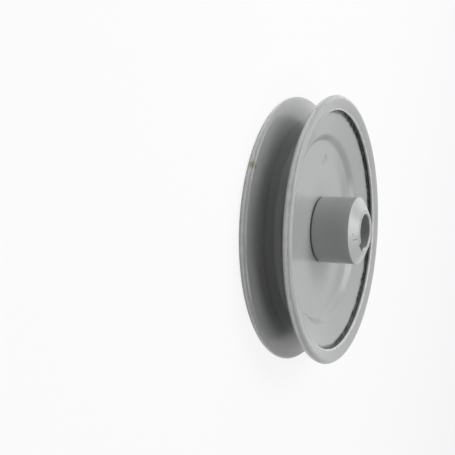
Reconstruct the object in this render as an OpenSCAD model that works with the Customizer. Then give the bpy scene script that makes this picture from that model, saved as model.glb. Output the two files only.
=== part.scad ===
// Pressed steel V-belt pulley: two dished discs, web to web, swaged on a turned hub.
// Millimetres. The bore runs along Z, the groove's middle plane is Z = 0 and the long end of the hub points to +Z.

/* [Rims and belt groove] */
// Outside diameter over the rims
rim_d = 160; // [130:1:220]
// Depth of the belt's pitch line below the rims
pitch_depth = 11.5; // [8:0.5:13]
// Width of the groove at the pitch line
pitch_w = 14; // [12:0.5:20]
// Angle between the groove's two flanks
groove_angle = 34; // [30:1:40]
// Depth of the straight flanks below the rims
flank_depth = 21; // [18:0.5:25]

/* [Pressed discs] */
// Thickness of the sheet
sheet = 2; // [1.5:0.1:3]
// Inside radius of the bends at both ends of the ramp
bend_r = 3; // [1:0.5:4]
// Slope of the ramp between web and flank
ramp_angle = 46; // [28:1:50]
// Gap between the two layers at the fold of the hem
fold_gap = 1; // [0.5:0.1:2]
// Direction, up from the radius, in which the fold faces where the hem's crowned leg begins
fold_turn = 100; // [90:1:110]
// Crown radius of the hem's leg
hem_roll = 20; // [12:1:40]
// Direction, up from the radius, in which the leg faces where it ends in its cut edge
hem_end = 118; // [105:1:122]
// Easing of the sheet's cut edges
cut_round = 0.5; // [0.1:0.1:0.7]

/* [Hub] */
// Diameter of the long end of the hub
hub_d = 40; // [36:1:60]
// Length of the hub in front of the web
hub_l = 27.5; // [15:0.5:60]
// Width of the flat ring round the bore's mouth, at the end of the coned nose
nose_ring = 1.6; // [0.5:0.1:4]
// Length of the coned nose
nose_l = 4.3; // [1:0.1:8]
// Chamfer where the hub's shoulder sits on the web
shoulder_chamfer = 1.4; // [0.2:0.1:2]
// Wall of the spigot that passes through both webs, round the bore
spigot_wall = 5; // [4:0.5:7]
// Clearance between the spigot and the webs, on the radius
spigot_gap = 0.05; // [0.02:0.01:0.2]
// Height of the swaged collar's lip over the spigot, behind the webs
collar_lip = 2; // [1:0.1:6]
// Length of the swaged collar
collar_l = 4.5; // [4:0.5:12]
// Rounding of the swaged collar's outer edge
collar_round = 3; // [0.5:0.1:3]

/* [Bore and keyway] */
// Diameter of the bore
bore_d = 20; // [15:0.5:26]
// Chamfer at both mouths of the bore
mouth_chamfer = 0.6; // [0.3:0.1:1]
// Width of the keyway
key_w = 6; // [4:0.5:8]
// Depth of the keyway beyond the bore's wall
key_h = 2.8; // [1.5:0.1:3]
// Direction of the keyway about the bore
key_dir = -38; // [-180:1:180]

/* [Hidden] */
$fn = 180;

paint = [0.69, 0.70, 0.70];
hub_paint = [0.63, 0.64, 0.64];
slack = 1;

// Short straight runs that each round of a section is drawn with
bend_steps = 6;
hem_steps = 12;
round_steps = 4;

// The section is drawn with X as the radius and Y along the axis
rim_r = rim_d / 2;
bore_r = bore_d / 2;
half_angle = groove_angle / 2;
outer_bend_r = bend_r + sheet;

// Groove side of the flank, as a height over the middle plane at a radius
pitch_r = rim_r - pitch_depth;
function flank_z(r) = pitch_w / 2 + (r - pitch_r) * tan(half_angle);

// Hem: a fold that touches the line of the flank and the rim's diameter, then a leg with a flat crown
fold_r = fold_gap / 2 + sheet;
fold_at = [rim_r - fold_r, flank_z(rim_r - fold_r) + fold_r / cos(half_angle)];
roll_at = fold_at + (fold_r - hem_roll) * polar(fold_turn);

// Bend from the ramp to the flank, on the groove's side of the sheet
foot_r = rim_r - flank_depth;
foot_at = [foot_r, flank_z(foot_r)] + bend_r * polar(half_angle - 90);

// Bend from the web to the ramp, on the outer side of the sheet
ramp_top = foot_at + bend_r * polar(ramp_angle + 90);
ramp_l = (ramp_top[1] - outer_bend_r * (1 - cos(ramp_angle))) / sin(ramp_angle);
web_edge = ramp_top[0] - ramp_l * cos(ramp_angle) - outer_bend_r * sin(ramp_angle);
web_bend_at = [web_edge, outer_bend_r];

spigot_r = bore_r + spigot_wall;
web_hole_r = spigot_r + spigot_gap;

function polar(a) = [cos(a), sin(a)];
function arc(at, r, from, to, steps) =
    [for (i = [0:steps]) at + r * polar(from + (to - from) * i / steps)];

// One face of the sheet, from the web's hole to just short of the hem's cut edge.
// Its distance from the groove's side of the sheet is depth.
function sheet_face(depth) = concat(
    [[web_hole_r + cut_round, depth]],
    arc(web_bend_at, outer_bend_r - depth, -90, ramp_angle - 90, bend_steps),
    arc(foot_at, bend_r + depth, ramp_angle + 90, half_angle + 90, bend_steps),
    arc(fold_at, fold_r - depth, half_angle - 90, fold_turn, hem_steps),
    arc(roll_at, hem_roll - depth, fold_turn, hem_end - asin(2 * cut_round / (hem_roll - depth)), hem_steps)
);
function reversed(points) = [for (i = [len(points) - 1:-1:0]) points[i]];

// Cut edge of the hem, with round corners, from the face on the groove's side to the other
function cut_corner(depth, from) = arc(
    roll_at + (hem_roll - depth) * polar(hem_end) - cut_round * polar(hem_end + 90),
    cut_round, from, from + 90, round_steps);
cut_edge = concat(
    cut_corner(cut_round, hem_end),
    cut_corner(sheet - cut_round, hem_end + 90)
);

// One pressed disc, with its web's back on Z = 0
module pressed_disc() {
    rotate_extrude()
        polygon(concat(
            [[web_hole_r, cut_round]],
            sheet_face(0),
            cut_edge,
            reversed(sheet_face(sheet)),
            [[web_hole_r, sheet - cut_round]]
        ));
}

module front_disc() {
    color(paint) pressed_disc();
}

module back_disc() {
    color(paint) mirror([0, 0, 1]) pressed_disc();
}

// Half section of the hub, from the back mouth of the bore round the outside to the front mouth
hub_front = sheet + hub_l;
hub_back = -sheet - collar_l;
collar_r = spigot_r + collar_lip;
mouth_r = bore_r + mouth_chamfer;
hub_section = concat(
    [[bore_r, hub_back + mouth_chamfer], [mouth_r, hub_back]],
    arc([collar_r - collar_round, hub_back + collar_round], collar_round, -90, 0, round_steps * 2),
    [
        [collar_r, -sheet],
        [spigot_r, -sheet],
        [spigot_r, sheet],
        [hub_d / 2 - shoulder_chamfer, sheet],
        [hub_d / 2, sheet + shoulder_chamfer],
        [hub_d / 2, hub_front - nose_l],
        [mouth_r + nose_ring, hub_front],
        [mouth_r, hub_front],
        [bore_r, hub_front - mouth_chamfer]
    ]
);

module keyway() {
    rotate([0, 0, key_dir])
        translate([0, -key_w / 2, hub_back - slack])
            cube([bore_r + key_h, key_w, hub_front - hub_back + 2 * slack]);
}

module hub() {
    color(hub_paint)
        difference() {
            rotate_extrude() polygon(hub_section);
            keyway();
        }
}

front_disc();
back_disc();
hub();
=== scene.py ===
# %% [markdown]
# # A pressed steel V-belt pulley
# The pulley is two sheet steel discs, web to web, and a turned hub that holds them. All sizes come from the
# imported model, which is loaded here as a fixed frame. Nothing in this lesson moves or resizes it: the discs
# keep their exact shape and get their paint here, and the hub is modelled again with its hammered collar.

# %% Load the frame
import math

import bpy
from mathutils import Matrix, Vector


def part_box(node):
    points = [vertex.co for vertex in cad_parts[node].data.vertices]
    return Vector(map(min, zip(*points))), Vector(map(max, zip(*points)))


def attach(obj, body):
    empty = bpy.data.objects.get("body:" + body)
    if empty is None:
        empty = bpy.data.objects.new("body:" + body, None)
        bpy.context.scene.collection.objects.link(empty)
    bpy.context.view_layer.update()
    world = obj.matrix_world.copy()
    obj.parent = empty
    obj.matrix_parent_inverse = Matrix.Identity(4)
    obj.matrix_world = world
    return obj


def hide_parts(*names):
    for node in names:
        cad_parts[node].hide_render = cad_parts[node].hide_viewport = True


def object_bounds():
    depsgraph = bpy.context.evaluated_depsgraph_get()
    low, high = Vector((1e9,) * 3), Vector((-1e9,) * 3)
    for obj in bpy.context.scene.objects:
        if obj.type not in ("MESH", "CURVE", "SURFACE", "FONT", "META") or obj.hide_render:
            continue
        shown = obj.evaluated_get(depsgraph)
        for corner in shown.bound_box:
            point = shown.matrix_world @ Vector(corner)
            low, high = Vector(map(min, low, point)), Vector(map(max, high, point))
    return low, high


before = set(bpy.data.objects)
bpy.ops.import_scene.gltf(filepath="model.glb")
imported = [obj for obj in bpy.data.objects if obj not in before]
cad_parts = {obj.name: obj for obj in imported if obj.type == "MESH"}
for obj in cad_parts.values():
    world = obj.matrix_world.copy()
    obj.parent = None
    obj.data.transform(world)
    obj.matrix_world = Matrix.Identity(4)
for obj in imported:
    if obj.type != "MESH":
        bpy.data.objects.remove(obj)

cad_low, cad_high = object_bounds()
MM = 0.001
rim_radius = cad_high.x
print("rims", round(2 * rim_radius / MM, 1), "mm across")
print("height", round((cad_high.z - cad_low.z) / MM, 1), "mm")

# %% [markdown]
# ## Camera
# The pulley lies on its back rim, and the picture shows it upright. It could be stood up for the picture,
# but it has to stay in its frame. A camera that is rolled a quarter turn sees it the same way: the bore's
# axis then points to the right of the picture. Two angles say how the axis lies to the camera, and the
# focal length is given in pixels of the picture, because that is how it was measured.

# %% Camera at the picture's angle
PICTURE = 455
FOCAL_PIXELS = 700
CENTRE_PIXEL = (318.5, 229.0)
AXIS_TURN = math.radians(62.2)
AXIS_DIP = math.radians(2.48)
RADII_AWAY = 5.342
SENSOR_WIDTH = 36

# The pulley's axis, top and near side as directions in the picture: right, down and ahead
bore_axis = Vector((math.cos(AXIS_DIP) * math.sin(AXIS_TURN),
                    math.sin(AXIS_DIP),
                    -math.cos(AXIS_DIP) * math.cos(AXIS_TURN)))
picture_up = Vector((0, -1, 0))
rim_top = (picture_up - picture_up.dot(bore_axis) * bore_axis).normalized()
rim_near = bore_axis.cross(rim_top)

# The top of the picture is the frame's -X, and the near side its -Y
to_object = Matrix((-rim_top, -rim_near, bore_axis))
right, down, ahead = (to_object @ Vector(v) for v in ((1, 0, 0), (0, 1, 0), (0, 0, 1)))
centre = Vector(((CENTRE_PIXEL[0] - PICTURE / 2) / FOCAL_PIXELS,
                 (CENTRE_PIXEL[1] - PICTURE / 2) / FOCAL_PIXELS,
                 1)) * RADII_AWAY * rim_radius
bpy.ops.object.camera_add()
camera = bpy.context.object
camera.matrix_world = Matrix.LocRotScale(
    to_object @ -centre,
    Matrix((right, -down, -ahead)).transposed().to_quaternion(),
    None)
camera.data.sensor_width = SENSOR_WIDTH
camera.data.lens = FOCAL_PIXELS / PICTURE * SENSOR_WIDTH
bpy.context.scene.camera = camera
print("camera at", [round(v, 4) for v in camera.location])

# %% [markdown]
# ## Nodes and colours
# Every finish below is a small node tree. One helper adds a node, sets its properties and fills its inputs:
# a node or a socket given as an input is linked, and anything else is set as the input's value.
# Colours are written as sRGB hex values, as a colour picker shows them, and turned to the linear values that
# Blender calculates with.

# %% Helpers for materials
# The mix node has inputs A and B for each kind of data, so those for colours are told by their number
A_COLOUR, B_COLOUR, MIXED_COLOUR = 6, 7, 2


def add(tree, kind, inputs=None, **settings):
    """Adds a node to a tree, sets its properties, and fills or links its inputs."""
    node = tree.nodes.new(kind)
    for name, value in settings.items():
        setattr(node, name, value)
    for key, value in (inputs or {}).items():
        if isinstance(value, bpy.types.Node):
            value = value.outputs[0]
        if isinstance(value, bpy.types.NodeSocket):
            tree.links.new(value, node.inputs[key])
        else:
            node.inputs[key].default_value = value
    return node


def colour(hex_value):
    """Turns an sRGB hex value such as "B0B2B1" to a linear colour."""
    channels = [int(hex_value[i:i + 2], 16) / 255 for i in (0, 2, 4)]
    return [c / 12.92 if c <= 0.04045 else ((c + 0.055) / 1.055) ** 2.4 for c in channels] + [1]


def per_metre(size_mm):
    """The texture scale at which a pattern repeats about every size_mm."""
    return 1 / (size_mm * MM)


def new_material(name):
    """Adds a material and returns it with its node tree and its shader."""
    material = bpy.data.materials.new(name)
    material.use_nodes = True
    return material, material.node_tree, material.node_tree.nodes["Principled BSDF"]


print("web grey", [round(c, 3) for c in colour("B0B2B1")])

# %% [markdown]
# ## Floor and light
# The picture is a studio shot on white. A white floor fills the whole view, because the camera looks down
# on it. More light would whiten it too, but would also bleach the pulley. So it is part emission for what
# the camera and the gloss see, and part diffuse, so that the pulley still leaves a soft shadow there.
#
# A large soft box is the ceiling. Smaller ones hang high round the pulley, and each is mirrored in one
# place: the cone of the hub, or the ramp between web and rim above and below the hub. Two more stand low at
# the picture's top and light the belt groove from outside. The room is white for the gloss and dim for all
# else, which keeps the hub's near side and the groove dark.

# %% What the eye sees
def seen_by_eye(tree):
    """1 for what the camera sees, also in gloss and through glass, and 0 for light that falls on things."""
    path = add(tree, "ShaderNodeLightPath")
    seen = path.outputs["Is Camera Ray"]
    for ray in ("Is Glossy Ray", "Is Transmission Ray"):
        seen = add(tree, "ShaderNodeMath", {0: seen, 1: path.outputs[ray]}, operation="MAXIMUM").outputs[0]
    return seen


scene = bpy.context.scene
scene.view_settings.view_transform = "Standard"
print("view transform", scene.view_settings.view_transform)

# %% White floor
FLOOR_SIZE = 6
FLOOR_GLOW = 0.85

bpy.ops.mesh.primitive_plane_add(size=FLOOR_SIZE, location=(0, 0, cad_low.z))
floor = bpy.context.object
floor.name = "floor"
white, tree, shader = new_material("white_floor")
shader.inputs["Base Color"].default_value = colour("F4F4F4")
shader.inputs["Roughness"].default_value = 0.9
share = add(tree, "ShaderNodeMath", {0: seen_by_eye(tree), 1: FLOOR_GLOW}, operation="MULTIPLY")
glow = add(tree, "ShaderNodeEmission", {"Strength": 1.0})
mixed = add(tree, "ShaderNodeMixShader", {0: share, 1: shader, 2: glow})
tree.links.new(mixed.outputs[0], tree.nodes["Material Output"].inputs["Surface"])
floor.data.materials.append(white)
print("floor at", round(cad_low.z / MM, 2), "mm")

# %% Soft boxes
LAMP_DISTANCE = 0.9


def soft_box(name, azimuth, elevation, size, watts):
    """Hangs a square soft box that faces the pulley. Angles are in degrees, azimuth from +X to +Y."""
    turn, lift = math.radians(azimuth), math.radians(elevation)
    place = LAMP_DISTANCE * Vector((math.cos(lift) * math.cos(turn),
                                    math.cos(lift) * math.sin(turn),
                                    math.sin(lift)))
    bpy.ops.object.light_add(type="AREA", location=place, rotation=place.to_track_quat("Z", "Y").to_euler())
    lamp = bpy.context.object
    lamp.name = name
    lamp.visible_camera = False
    lamp.data.size = size
    lamp.data.energy = watts
    print(name, "at", [round(v, 2) for v in lamp.location])


soft_box("soft_box_ceiling", 0, 90, 1.1, 1.5)
soft_box("soft_box_overhead", 135, 80, 0.5, 1.3)
soft_box("soft_box_top", 180, 58, 0.5, 3.0)
soft_box("soft_box_bottom", 345, 60, 0.3, 1.0)
soft_box("soft_box_front", 270, 64, 0.35, 1.2)
soft_box("soft_box_corner", 135, 18, 0.9, 1.3)
soft_box("soft_box_low", 180, 15, 0.5, 0.8)

# %% White room
ROOM_LIGHT = 0.02

world = bpy.data.worlds.new("studio")
scene.world = world
world.use_nodes = True
tree = world.node_tree
background = tree.nodes["Background"]
background.inputs["Color"].default_value = colour("FFFFFF")
strength = add(tree, "ShaderNodeMapRange", {"Value": seen_by_eye(tree), "To Min": ROOM_LIGHT, "To Max": 1.0})
tree.links.new(strength.outputs[0], background.inputs["Strength"])
print("room light", ROOM_LIGHT)

# %% [markdown]
# ## Paint
# The paint is a grey enamel with a low gloss, sprayed on pressed sheet and on the turned hub alike. It is a
# little cloudy, it has the fine pebbled skin of sprayed paint, and it is worn and dirty in places. Some marks
# are painted highlights and painted shade instead. A painted picture could show all that, but it would need a
# flat map of every piece. Here a mark is what lies within reach of a place, which works on any shape.
#
# A place is given in one of two ways. A spot is a point in space. A ring is a point of the pulley's section,
# radius and height, so it goes all the way round: that is how the rims and the hem's cut edges get painted
# highlights, how painted shadow lies under the hem and painted shade round the hub's foot, and how a belt
# leaves its track.

# %% Places and marks
SPOT, RING = "spot", "ring"
# A mark fades between these shares of its reach. The flecks add about half a reach to every distance, so
# most of it is gone one reach away.
FULL, GONE = 0.8, 1.5


def places(tree):
    """The point in space and the point of the pulley's section that marks are measured from."""
    place = add(tree, "ShaderNodeTexCoord").outputs["Object"]
    flat = add(tree, "ShaderNodeVectorMath", {0: place, 1: (1, 1, 0)}, operation="MULTIPLY")
    radius = add(tree, "ShaderNodeVectorMath", {0: flat}, operation="LENGTH").outputs["Value"]
    height = add(tree, "ShaderNodeSeparateXYZ", {0: place}).outputs["Z"]
    section = add(tree, "ShaderNodeCombineXYZ", {0: radius, 2: height}).outputs[0]
    return {SPOT: place, RING: section}


def marked(tree, tone, flecks, measured_from, at, reach, tint, amount):
    """Lays a mark over a colour, with an edge that the flecks make ragged."""
    away = add(tree, "ShaderNodeVectorMath", {0: measured_from, 1: Vector(at) * MM}, operation="DISTANCE")
    frayed = add(tree, "ShaderNodeMath", {0: flecks, 1: reach * MM, 2: away.outputs["Value"]},
                 operation="MULTIPLY_ADD")
    mark = add(tree, "ShaderNodeMapRange", {"Value": frayed, "From Min": FULL * reach * MM,
                                            "From Max": GONE * reach * MM, "To Min": amount, "To Max": 0.0})
    over = add(tree, "ShaderNodeMix", {0: mark, A_COLOUR: tone, B_COLOUR: colour(tint)}, data_type="RGBA")
    return over.outputs[MIXED_COLOUR]


print("marks fade from", FULL, "to", GONE, "of their reach, flecks added")

# %% Enamel
CLOUD_MM = 28
FLECK_MM = 3.5
PEEL_MM = 1.3
PEEL_DEPTH_MM = 0.03
PEEL_STRENGTH = 0.25
# A tool's feed is finer than this, but finer rings would not show
LATHE_MM = 0.7
LATHE_DEPTH_MM = 0.05
GLOSSIEST, DULLEST = 0.19, 0.26


def enamel(name, deep, pale, marks, lathe_lines=0.0, metal=0.0):
    """Enamel between two greys. Marks are kind, place in mm, reach in mm, colour and amount."""
    material, tree, shader = new_material(name)
    measured_from = places(tree)
    place, section = measured_from[SPOT], measured_from[RING]
    clouds = add(tree, "ShaderNodeTexNoise", {"Vector": place, "Scale": per_metre(CLOUD_MM), "Detail": 2.0})
    flecks = add(tree, "ShaderNodeTexNoise", {"Vector": place, "Scale": per_metre(FLECK_MM), "Detail": 4.0})
    peel = add(tree, "ShaderNodeTexNoise", {"Vector": place, "Scale": per_metre(PEEL_MM), "Detail": 1.0})
    lines = add(tree, "ShaderNodeTexNoise", {"Vector": section, "Scale": per_metre(LATHE_MM), "Detail": 2.0})

    # Soft clouds over the whole coat, so that the grey is not dead flat, and the marks over them
    coat = add(tree, "ShaderNodeMix", {0: clouds, A_COLOUR: colour(deep), B_COLOUR: colour(pale)},
               data_type="RGBA")
    tone = coat.outputs[MIXED_COLOUR]
    for kind, at, reach, tint, amount in marks:
        tone = marked(tree, tone, flecks, measured_from[kind], at, reach, tint, amount)
    tree.links.new(tone, shader.inputs["Base Color"])
    shader.inputs["Metallic"].default_value = metal

    # Gloss that changes a little from fleck to fleck, as on paint that has been handled
    gloss = add(tree, "ShaderNodeMapRange", {"Value": flecks, "To Min": GLOSSIEST, "To Max": DULLEST})
    tree.links.new(gloss.outputs[0], shader.inputs["Roughness"])

    # The pebbled skin of sprayed paint, and on the hub the lathe's rings under it
    skin = add(tree, "ShaderNodeBump", {"Height": peel, "Strength": PEEL_STRENGTH,
                                        "Distance": PEEL_DEPTH_MM * MM})
    rings = add(tree, "ShaderNodeBump", {"Height": lines, "Strength": lathe_lines,
                                         "Distance": LATHE_DEPTH_MM * MM, "Normal": skin})
    tree.links.new(rings.outputs[0], shader.inputs["Normal"])
    return material


print("enamel with flecks of", FLECK_MM, "mm")

# %% Enamel of the discs
# The darkest and the palest grey are painted shadow and painted highlight. The dark grey is dirt in some marks
# and painted shade in others; the rest are the paint's own stains and scuffs.
PAINTED_SHADOW, DIRT_AND_SHADE, SCUFF, PAINTED_HIGHLIGHT = "2A2B2B", "3E3F3F", "85888A", "E0E1DF"
RUST, OCHRE = "83714A", "B3AC90"

# Round both discs alike: a painted highlight on the rim's fold, painted shadow under the hem, painted light on
# the hem's shaded cut edge, and the belt's track.
# Each is a radius, a height over the groove's middle plane, reach, colour and amount.
both_discs = (
    # A painted highlight along the rim's fold
    (80.0, 12.4, 1.2, PAINTED_HIGHLIGHT, 0.9),
    # Painted shadow on the flank, in the gap under the hem's cut edge
    (70.9, 10.4, 1.9, PAINTED_SHADOW, 1.0),
    # Painted light on the hem's cut edge, which faces down into shade
    (71.4, 12.3, 1.7, PAINTED_HIGHLIGHT, 1.0),
    (66.0, 5.2, 1.7, DIRT_AND_SHADE, 0.25),
)
disc_marks = [(RING, (radius, 0, side * height), reach, tint, amount)
              for radius, height, reach, tint, amount in both_discs for side in (1, -1)]
# Darker in the groove's bottom, painted shade where the web meets the hub in front and the collar behind,
# then single stains and scuffs
disc_marks += (
    # Darker at the groove's bottom
    (RING, (52.2, 0, 0.0), 1.2, DIRT_AND_SHADE, 0.7),
    # Painted shade in the corner where the web meets the hub's foot
    (RING, (19.6, 0, 2.0), 0.8, DIRT_AND_SHADE, 0.25),
    # Painted shade round the collar's foot, behind
    (RING, (17.0, 0, -2.0), 0.9, DIRT_AND_SHADE, 0.7),
    (SPOT, (-33.6, -72.0, -10.9), 2.8, RUST, 0.8),
    (SPOT, (-76.0, -11.0, 14.8), 4.5, OCHRE, 0.35),
    (SPOT, (-77.3, -6.0, 14.8), 0.9, DIRT_AND_SHADE, 0.7),
    (SPOT, (-69.6, -36.4, 14.6), 1.6, SCUFF, 0.6),
    (SPOT, (-66.0, -44.5, 12.6), 1.4, SCUFF, 0.6),
    (SPOT, (-43.8, 2.4, 2.0), 3.6, SCUFF, 0.6),
    (SPOT, (-41.0, -2.2, 2.0), 3.0, SCUFF, 0.5),
)
disc_enamel = enamel("grey_enamel_on_pressed_steel", "A6A8A7", "B0B2B1", disc_marks)
print(disc_enamel.name, len(disc_marks), "marks")

# %% Enamel of the hub and its cone
hub_enamel = enamel("grey_enamel_on_turned_steel", "A8AAA9", "B2B4B3", (
    # Painted shade at the hub's foot, where it meets the web
    (RING, (19.4, 0, 2.2), 0.8, DIRT_AND_SHADE, 0.2),
    # Painted shade round the collar's foot, behind
    (RING, (16.6, 0, -2.4), 0.9, DIRT_AND_SHADE, 0.6),
), lathe_lines=0.15)
# On the turned cone the coat is thin, so that some of the steel's shine comes through. Its grey is also
# paler than the hub's: a painted highlight, where the lamps above shine on the cone.
cone_enamel = enamel("thin_grey_enamel_on_turned_steel", "B0B2B1", "BABCBB", (
    (RING, (12.2, 0, 29.5), 0.7, SCUFF, 0.6),
    (SPOT, (4.6, -14.4, 27.9), 1.3, SCUFF, 0.8),
    (SPOT, (5.0, -15.5, 27.2), 0.7, DIRT_AND_SHADE, 0.6),
    (SPOT, (4.8, -13.6, 28.3), 0.7, DIRT_AND_SHADE, 0.6),
    (SPOT, (1.7, -16.5, 27.1), 0.6, DIRT_AND_SHADE, 0.5),
), lathe_lines=0.3, metal=0.12)
print(hub_enamel.name, "and", cone_enamel.name)

# %% [markdown]
# ## Bare steel
# The bore was never painted. Its steel is oily and a little dull, so it mirrors less than clean metal does,
# and a shaft that is pushed in and out leaves streaks along it. They could be cut into the mesh, but they are
# too fine to change its shape, so one noise, stretched along the axis, only colours them.

# %% Oiled steel of the bore
STREAK_MM = 1.5
STREAK_STRETCH = (1, 1, 0.08)

bare_steel, tree, shader = new_material("oiled_steel_of_the_bore")
place = add(tree, "ShaderNodeTexCoord").outputs["Object"]
stretched = add(tree, "ShaderNodeVectorMath", {0: place, 1: STREAK_STRETCH}, operation="MULTIPLY")
streaks = add(tree, "ShaderNodeTexNoise", {"Vector": stretched, "Scale": per_metre(STREAK_MM), "Detail": 3.0})
oil = add(tree, "ShaderNodeMix", {0: streaks, A_COLOUR: colour("9C9E9E"), B_COLOUR: colour("B6B8B8")},
          data_type="RGBA")
tree.links.new(oil.outputs[MIXED_COLOUR], shader.inputs["Base Color"])
shader.inputs["Metallic"].default_value = 0.2
shader.inputs["Roughness"].default_value = 0.45
print(bare_steel.name)

# %% [markdown]
# ## The hub
# The hub is one turned piece. It could be built up from cylinders and cones, but their seams would have to
# be joined. Its half outline, drawn beside the bore one straight run after the other and spun round the
# axis, gives the whole piece at once, as the lathe did. The runs are in mm, out from the axis and along it.

# %% Sizes of the hub
BORE_R = 10
MOUTH = 0.6
WEB = 2
SPIGOT_R = 15
COLLAR_R = 17
COLLAR_ROUND = 3
HUB_R = 20
SHOULDER_CHAMFER = 1.4
NOSE_R = 12.2
NOSE_LENGTH = 4.3
NOSE_EDGE = 0.3

hub_back, hub_front = (corner.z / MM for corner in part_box("hub"))
nose_foot = hub_front - NOSE_LENGTH
runs = (
    (MOUTH, -MOUTH),
    (COLLAR_R - BORE_R - MOUTH, 0),
    (0, -WEB - hub_back),
    (SPIGOT_R - COLLAR_R, 0),
    (0, 2 * WEB),
    (HUB_R - SHOULDER_CHAMFER - SPIGOT_R, 0),
    (SHOULDER_CHAMFER, SHOULDER_CHAMFER),
    (0, nose_foot - SHOULDER_CHAMFER - WEB),
    (NOSE_R - HUB_R, NOSE_LENGTH),
    (BORE_R + MOUTH - NOSE_R, 0),
    (-MOUTH, -MOUTH),
)
print("hub from", round(hub_back, 1), "to", round(hub_front, 1), "mm in", len(runs), "runs")

# %% Half outline
NEAR = 0.01


def pick(piece, test):
    """Selects only the vertices whose place, in millimetres, passes the test, and stays in edit mode."""
    bpy.ops.object.mode_set(mode="EDIT")
    bpy.ops.mesh.select_all(action="DESELECT")
    bpy.ops.object.mode_set(mode="OBJECT")
    for vertex in piece.data.vertices:
        vertex.select = test(vertex.co / MM)
    bpy.ops.object.mode_set(mode="EDIT")


bpy.ops.object.select_all(action="DESELECT")
bpy.ops.mesh.primitive_plane_add(size=MM)
hub = bpy.context.object
hub.name = "turned_hub"
bpy.ops.object.mode_set(mode="EDIT")
bpy.ops.mesh.select_all(action="SELECT")
bpy.ops.mesh.merge(type="CENTER")
bpy.ops.transform.translate(value=(BORE_R * MM, 0, (hub_back + MOUTH) * MM))
for out, up in runs:
    bpy.ops.mesh.extrude_region_move(TRANSFORM_OT_translate={"value": (out * MM, 0, up * MM)})
pick(hub, lambda p: p.x < BORE_R + NEAR)
bpy.ops.mesh.edge_face_add()
bpy.ops.object.mode_set(mode="OBJECT")
print("outline of", len(hub.data.edges), "edges")

# %% Rounded edges, and the spin
ROUND_SEGMENTS = 10
EDGE_SEGMENTS = 3
COLLAR_ROWS = 8
CONE_ROWS = 16
SPIN_STEPS = 240
MERGE_BELOW = 0.001

# The collar's outer edge is round, and the face beside it and the cone get rows of points for the dents
pick(hub, lambda p: p.x > COLLAR_R - NEAR and p.z < hub_back + NEAR)
bpy.ops.mesh.bevel(offset=COLLAR_ROUND * MM, segments=ROUND_SEGMENTS, affect="VERTICES")
pick(hub, lambda p: p.z < hub_back + NEAR)
bpy.ops.mesh.subdivide(number_cuts=COLLAR_ROWS)
pick(hub, lambda p: p.x > NOSE_R - NEAR and p.z > nose_foot - NEAR)
bpy.ops.mesh.subdivide(number_cuts=CONE_ROWS)
pick(hub, lambda p: abs(p.z - nose_foot) < NEAR or p.x > NOSE_R - NEAR and p.z > hub_front - NEAR)
bpy.ops.mesh.bevel(offset=NOSE_EDGE * MM, segments=EDGE_SEGMENTS, affect="VERTICES")
bpy.ops.mesh.select_all(action="SELECT")
bpy.ops.mesh.spin(steps=SPIN_STEPS, angle=math.tau, center=(0, 0, 0), axis=(0, 0, 1))
bpy.ops.mesh.select_all(action="SELECT")
bpy.ops.mesh.remove_doubles(threshold=MERGE_BELOW * MM)
bpy.ops.mesh.normals_make_consistent(inside=False)
bpy.ops.object.mode_set(mode="OBJECT")
print("hub", len(hub.data.vertices), "vertices")

# %% [markdown]
# ## Hammered collar
# Behind the webs the hub ends in a collar that was hammered over the back disc. Sculpting would show that,
# but not the same way each time. So the collar's face first gets uneven ground from a cloud texture, and
# then each blow of the punch moves one point and, less and less, what lies round it. The cone has a few
# small dents too. All of it goes inwards, so that the hub stays inside its exact model.

# %% Uneven ground on the collar
GROUND_MM = 2.6
GROUND_DEPTH = 0.5
SEAT = 0.5

# A narrow seat beside the disc stays as it was turned
pick(hub, lambda p: p.z < -WEB - SEAT and p.to_2d().length > BORE_R + MOUTH - NEAR)
hub.vertex_groups.new(name="hammered")
bpy.ops.object.vertex_group_assign()
bpy.ops.object.mode_set(mode="OBJECT")
ground = bpy.data.textures.new("uneven_ground", "CLOUDS")
ground.noise_scale = GROUND_MM * MM
ground.noise_depth = 1
uneven = hub.modifiers.new("uneven_ground", "DISPLACE")
uneven.texture = ground
uneven.texture_coords = "LOCAL"
uneven.vertex_group = "hammered"
uneven.mid_level = 1
uneven.strength = GROUND_DEPTH * MM
bpy.ops.object.modifier_apply(modifier=uneven.name)
print("ground uneven by up to", GROUND_DEPTH, "mm")

# %% Blows of the punch
# Angle about the bore in degrees, then in mm the radius, the height, the push out along the radius, the push
# up along the axis, and the reach of the dent
blows = (
    (176, 13.6, hub_back, 0, 1.2, 3.2),
    (152, 14.6, hub_back, -0.4, 1.1, 2.6),
    (205, 14.2, hub_back, -0.5, 1.3, 3.0),
    (232, 13.2, hub_back, 0, 0.6, 2.2),
    (-4, 13.8, hub_back, -0.3, 1.3, 2.8),
    (14, 14.8, hub_back, -0.5, 1.0, 2.4),
    (28, 12.8, hub_back, 0, 1.0, 2.0),
    (-22, 15.0, hub_back, -0.6, 1.2, 2.6),
    (62, 14.0, hub_back, 0, 0.7, 2.4),
    (110, 14.4, hub_back, -0.3, 0.9, 2.6),
    (-100, 14.2, hub_back, 0, 0.5, 2.8),
    (-77, 15.6, 27.6, 0, -0.6, 1.0),
    (-71, 14.7, 28.1, 0, -0.6, 1.0),
    (-67, 15.4, 27.7, 0, -0.5, 0.9),
)
for angle, radius, height, outwards, upwards, reach in blows:
    ray = Vector((math.cos(math.radians(angle)), math.sin(math.radians(angle)), 0))
    target = (radius * ray + Vector((0, 0, height))) * MM
    hit = min((v.co.copy() for v in hub.data.vertices), key=lambda at: (at - target).length)
    pick(hub, lambda p: (p * MM - hit).length < NEAR * MM)
    push = (outwards * ray + Vector((0, 0, upwards))) * MM
    bpy.ops.transform.translate(value=push, use_proportional_edit=True,
                                proportional_edit_falloff="SHARP", proportional_size=reach * MM)
    bpy.ops.object.mode_set(mode="OBJECT")
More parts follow.
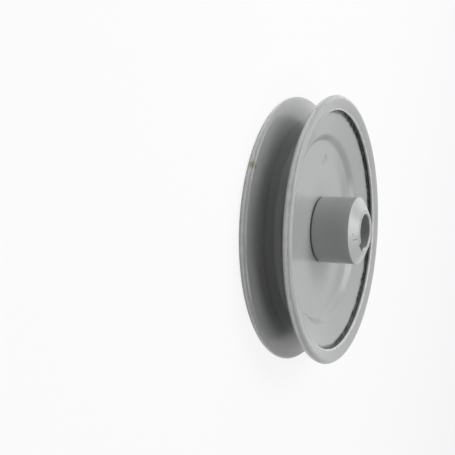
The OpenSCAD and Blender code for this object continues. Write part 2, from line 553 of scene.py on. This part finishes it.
print(len(blows), "dents")

# %% [markdown]
# ## Bore and keyway
# The keyway is a slot along the whole bore, cut after turning, that makes the shaft and the pulley turn
# together. It is not round, so it can't be part of the spun outline, and a block is taken away from the
# finished hub instead. The block is made of the bore's bare steel and leaves that on the walls that it cuts.

# %% Finishes of the hub
STEEL_SLOT, CONE_SLOT = 1, 2

for finish in (hub_enamel, bare_steel, cone_enamel):
    hub.data.materials.append(finish)
pick(hub, lambda p: p.to_2d().length < BORE_R + NEAR)
hub.active_material_index = STEEL_SLOT
bpy.ops.object.material_slot_assign()
pick(hub, lambda p: p.to_2d().length > BORE_R + NEAR and p.z > nose_foot - 2 * NOSE_EDGE)
hub.active_material_index = CONE_SLOT
bpy.ops.object.material_slot_assign()
bpy.ops.object.mode_set(mode="OBJECT")
print("hub in", [slot.name for slot in hub.material_slots])

# %% Keyway
KEY_WIDTH = 6
KEY_DEPTH = 2.8
KEY_ANGLE = math.radians(-38)
SMOOTH_BELOW = math.radians(30)

key_floor = BORE_R + KEY_DEPTH
past_both_ends = 3 * hub_front
bpy.ops.mesh.primitive_cube_add(size=MM, location=(key_floor / 2 * MM, 0, 0))
cutter = bpy.context.object
bpy.ops.transform.resize(value=(key_floor, KEY_WIDTH, past_both_ends))
cutter.matrix_world = Matrix.Rotation(KEY_ANGLE, 4, "Z") @ cutter.matrix_world
cutter.data.materials.append(bare_steel)
bpy.ops.object.select_all(action="DESELECT")
bpy.context.view_layer.objects.active = hub
hub.select_set(True)
cut = hub.modifiers.new("keyway", "BOOLEAN")
cut.object = cutter
cut.solver = "EXACT"
cut.material_mode = "TRANSFER"
bpy.ops.object.modifier_apply(modifier=cut.name)
bpy.data.objects.remove(cutter)
bpy.ops.object.shade_smooth_by_angle(angle=SMOOTH_BELOW)
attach(hub, "root")
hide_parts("hub")
print("hub", len(hub.data.vertices), "vertices,", len(hub.data.polygons), "faces")

# %% [markdown]
# ## The discs
# The two discs are pressed from sheet: a flat web, a ramp, the groove's flank and a rim folded back to a
# hem. They could be spun as the hub was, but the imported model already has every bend, so they keep its exact
# shape and only get their enamel.

# %% Enamel on the discs
for name in ("front_disc", "back_disc"):
    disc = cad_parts[name]
    disc.data.materials.clear()
    disc.data.materials.append(disc_enamel)
    print(name, len(disc.data.polygons), "faces")
